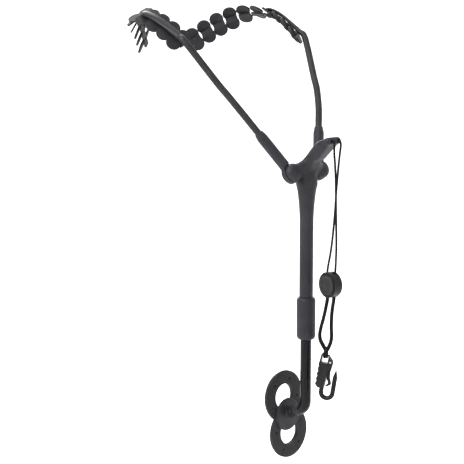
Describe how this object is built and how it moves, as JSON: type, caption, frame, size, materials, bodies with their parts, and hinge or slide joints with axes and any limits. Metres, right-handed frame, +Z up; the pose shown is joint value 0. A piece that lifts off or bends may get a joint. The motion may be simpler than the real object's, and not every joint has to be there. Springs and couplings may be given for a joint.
{
  "type": "saxophone harness",
  "caption": "Wearable saxophone carrier: folding shoulder arms with flexible pad strips, telescopic belly rest, cord with lock and snap hook.",
  "frame": {"origin": "midway between the two shoulder rests, where the harness sits on its wearer", "axes": "+Z up, -Y towards the wearer's front, +X to the wearer's left"},
  "size_m": [0.2312, 0.2792, 0.5162],
  "materials": {
    "hub_plastic": "satin moulded nylon, fine grain",
    "arm_coating": "smooth satin sheath",
    "tube_coating": "black powder coat, semi-gloss",
    "steel": "zinc plated",
    "nylon": "black nylon",
    "pad_rubber": "matt rubber with a fine speckle",
    "rivet_plastic": "moulded rivet",
    "rest_plastic": "speckled matt plate",
    "cushion_rubber": "soft matt rubber",
    "cord_fabric": "tight round braid",
    "lock_plastic": "satin moulded plastic",
    "hook_plastic": "glossy moulded plastic"
  },
  "bodies": {
    "hub": {"hub_body": "hub_plastic", "clamp_sleeve": "nylon", "cord_upper": "cord_fabric", "left_hinge_screw": "steel", "left_friction_washer": "nylon", "left_spring_washer": "steel", "right_hinge_screw": "steel", "right_friction_washer": "nylon", "right_spring_washer": "steel"},
    "collar": {"collar": "hub_plastic"},
    "rest_slide": {"rest_tube": "tube_coating", "guide_bush": "nylon", "tube_end_plug": "rivet_plastic", "flex_neck": "hub_plastic"},
    "rest_head": {"rest_swivel_cap": "hub_plastic", "rest_screw": "steel"},
    "rest_plate": {"belly_plate": "rest_plastic", "ring_cushions": "cushion_rubber"},
    "cord_lock": {"cord_lock_housing": "lock_plastic", "cord_lock_spring": "steel"},
    "lock_button": {"cord_lock_button": "lock_plastic"},
    "cord_loops": {"cord_loop_left": "cord_fabric", "cord_loop_right": "cord_fabric"},
    "hook": {"hook_body": "hook_plastic", "gate_pin": "steel", "gate_spring": "steel"},
    "gate": {"hook_gate": "hook_plastic"},
    "left_arm": {"left_arm_socket": "hub_plastic", "left_arm_sheath": "arm_coating", "left_arm_core": "steel", "left_strip_base": "pad_rubber", "left_strip_rivets": "rivet_plastic"},
    "left_pad_1": {"left_pad_link_1": "pad_rubber"},
    "left_pad_2": {"left_pad_link_2": "pad_rubber"},
    "left_pad_3": {"left_pad_link_3": "pad_rubber"},
    "left_pad_4": {"left_pad_link_4": "pad_rubber"},
    "left_pad_5": {"left_pad_link_5": "pad_rubber"},
    "left_pad_6": {"left_pad_link_6": "pad_rubber"},
    "right_arm": {"right_arm_socket": "hub_plastic", "right_arm_sheath": "arm_coating", "right_arm_core": "steel", "right_strip_base": "pad_rubber", "right_strip_rivets": "rivet_plastic"},
    "right_pad_1": {"right_pad_link_1": "pad_rubber"},
    "right_pad_2": {"right_pad_link_2": "pad_rubber"},
    "right_pad_3": {"right_pad_link_3": "pad_rubber"},
    "right_pad_4": {"right_pad_link_4": "pad_rubber"},
    "right_pad_5": {"right_pad_link_5": "pad_rubber"},
    "right_pad_6": {"right_pad_link_6": "pad_rubber"}
  },
  "joints": [
    {"name": "left_arm_fold", "type": "hinge", "parent": "hub", "child": "left_arm", "pos_m": [-0.023, -0.13, -0.165], "axis": [0, -0.8829, 0.4695], "range_deg": [-4, 150]},
    {"name": "left_pad_bend_1", "type": "hinge", "parent": "left_arm", "child": "left_pad_1", "pos_m": [-0.09854, 0.02536, 0.00534], "axis": [-0.853, 0.3031, -0.425], "range_deg": [0, 12], "stiffness_Nm_per_rad": 0.06},
    {"name": "left_pad_bend_2", "type": "hinge", "parent": "left_pad_1", "child": "left_pad_2", "pos_m": [-0.09194, 0.03993, 0.00565], "axis": [-0.7687, 0.3714, -0.5207], "range_deg": [0, 12], "stiffness_Nm_per_rad": 0.06},
    {"name": "left_pad_bend_3", "type": "hinge", "parent": "left_pad_2", "child": "left_pad_3", "pos_m": [-0.08198, 0.05233, 0.00215], "axis": [-0.6226, 0.215, -0.7525], "range_deg": [0, 12], "stiffness_Nm_per_rad": 0.06},
    {"name": "left_pad_bend_4", "type": "hinge", "parent": "left_pad_3", "child": "left_pad_4", "pos_m": [-0.07033, 0.06248, -0.00342], "axis": [-0.5141, 0.021, -0.8575], "range_deg": [0, 12], "stiffness_Nm_per_rad": 0.06},
    {"name": "left_pad_bend_5", "type": "hinge", "parent": "left_pad_4", "child": "left_pad_5", "pos_m": [-0.05828, 0.07156, -0.01118], "axis": [-0.5606, -0.0598, -0.8259], "range_deg": [0, 12], "stiffness_Nm_per_rad": 0.06},
    {"name": "left_pad_bend_6", "type": "hinge", "parent": "left_pad_5", "child": "left_pad_6", "pos_m": [-0.04693, 0.08041, -0.0201], "axis": [-0.5887, -0.0845, -0.8039], "range_deg": [0, 12], "stiffness_Nm_per_rad": 0.06},
    {"name": "right_arm_fold", "type": "hinge", "parent": "hub", "child": "right_arm", "pos_m": [0.023, -0.13, -0.165], "axis": [0, 0.8829, -0.4695], "range_deg": [-4, 150]},
    {"name": "right_pad_bend_1", "type": "hinge", "parent": "right_arm", "child": "right_pad_1", "pos_m": [0.09854, 0.02536, 0.00534], "axis": [-0.853, -0.3031, 0.425], "range_deg": [0, 12], "stiffness_Nm_per_rad": 0.06},
    {"name": "right_pad_bend_2", "type": "hinge", "parent": "right_pad_1", "child": "right_pad_2", "pos_m": [0.09194, 0.03993, 0.00565], "axis": [-0.7687, -0.3714, 0.5207], "range_deg": [0, 12], "stiffness_Nm_per_rad": 0.06},
    {"name": "right_pad_bend_3", "type": "hinge", "parent": "right_pad_2", "child": "right_pad_3", "pos_m": [0.08198, 0.05233, 0.00215], "axis": [-0.6226, -0.215, 0.7525], "range_deg": [0, 12], "stiffness_Nm_per_rad": 0.06},
    {"name": "right_pad_bend_4", "type": "hinge", "parent": "right_pad_3", "child": "right_pad_4", "pos_m": [0.07033, 0.06248, -0.00342], "axis": [-0.5141, -0.021, 0.8575], "range_deg": [0, 12], "stiffness_Nm_per_rad": 0.06},
    {"name": "right_pad_bend_5", "type": "hinge", "parent": "right_pad_4", "child": "right_pad_5", "pos_m": [0.05828, 0.07156, -0.01118], "axis": [-0.5606, 0.0598, 0.8259], "range_deg": [0, 12], "stiffness_Nm_per_rad": 0.06},
    {"name": "right_pad_bend_6", "type": "hinge", "parent": "right_pad_5", "child": "right_pad_6", "pos_m": [0.04693, 0.08041, -0.0201], "axis": [-0.5887, 0.0845, 0.8039], "range_deg": [0, 12], "stiffness_Nm_per_rad": 0.06},
    {"name": "collar_twist", "type": "hinge", "parent": "hub", "child": "collar", "pos_m": [0, -0.133, -0.331], "axis": [0, 0, 1], "range_deg": [0, 90]},
    {"name": "rest_height", "type": "slide", "parent": "hub", "child": "rest_slide", "axis": [0, 0, 1], "range_m": [-0.045, 0.05]},
    {"name": "rest_tilt", "type": "hinge", "parent": "rest_slide", "child": "rest_head", "pos_m": [0, -0.11172, -0.44427], "axis": [1, 0, 0], "range_deg": [-8, 8]},
    {"name": "rest_turn", "type": "hinge", "parent": "rest_head", "child": "rest_plate", "pos_m": [0, -0.1045, -0.44748], "axis": [0, 1, 0], "range_deg": [-45, 45]},
    {"name": "lock_slide", "type": "slide", "parent": "hub", "child": "cord_lock", "axis": [0, 0, 1], "range_m": [-0.012, 0.06], "deforming": ["cord_upper"]},
    {"name": "button_press", "type": "slide", "parent": "cord_lock", "child": "lock_button", "axis": [0.9903, -0.1392, 0], "range_m": [0, 0.0012], "stiffness_N_per_m": 800, "springref_m": -0.001, "deforming": ["cord_lock_spring"]},
    {"name": "loop_length", "type": "slide", "parent": "cord_lock", "child": "cord_loops", "axis": [0, 0, 1], "range_m": [-0.035, 0.01], "deforming": ["cord_loop_left", "cord_loop_right"]},
    {"name": "hook_swing", "type": "hinge", "parent": "cord_loops", "child": "hook", "pos_m": [0, -0.163, -0.372], "axis": [0.5, -0.866, 0], "range_deg": [-50, 50]},
    {"name": "gate_open", "type": "hinge", "parent": "hook", "child": "gate", "pos_m": [0.00295, -0.1681, -0.37698], "axis": [0.866, 0.5, 0], "range_deg": [0, 8], "stiffness_Nm_per_rad": 0.02, "springref_deg": -8.59, "deforming": ["gate_spring"]}
  ],
  "couplings": [
    {"joint": "loop_length", "follows": "lock_slide", "ratio": -0.5},
    {"joint": "left_pad_bend_2", "follows": "left_pad_bend_1", "ratio": 1},
    {"joint": "left_pad_bend_3", "follows": "left_pad_bend_1", "ratio": 1},
    {"joint": "left_pad_bend_4", "follows": "left_pad_bend_1", "ratio": 1},
    {"joint": "left_pad_bend_5", "follows": "left_pad_bend_1", "ratio": 1},
    {"joint": "left_pad_bend_6", "follows": "left_pad_bend_1", "ratio": 1},
    {"joint": "right_pad_bend_2", "follows": "right_pad_bend_1", "ratio": 1},
    {"joint": "right_pad_bend_3", "follows": "right_pad_bend_1", "ratio": 1},
    {"joint": "right_pad_bend_4", "follows": "right_pad_bend_1", "ratio": 1},
    {"joint": "right_pad_bend_5", "follows": "right_pad_bend_1", "ratio": 1},
    {"joint": "right_pad_bend_6", "follows": "right_pad_bend_1", "ratio": 1}
  ]
}
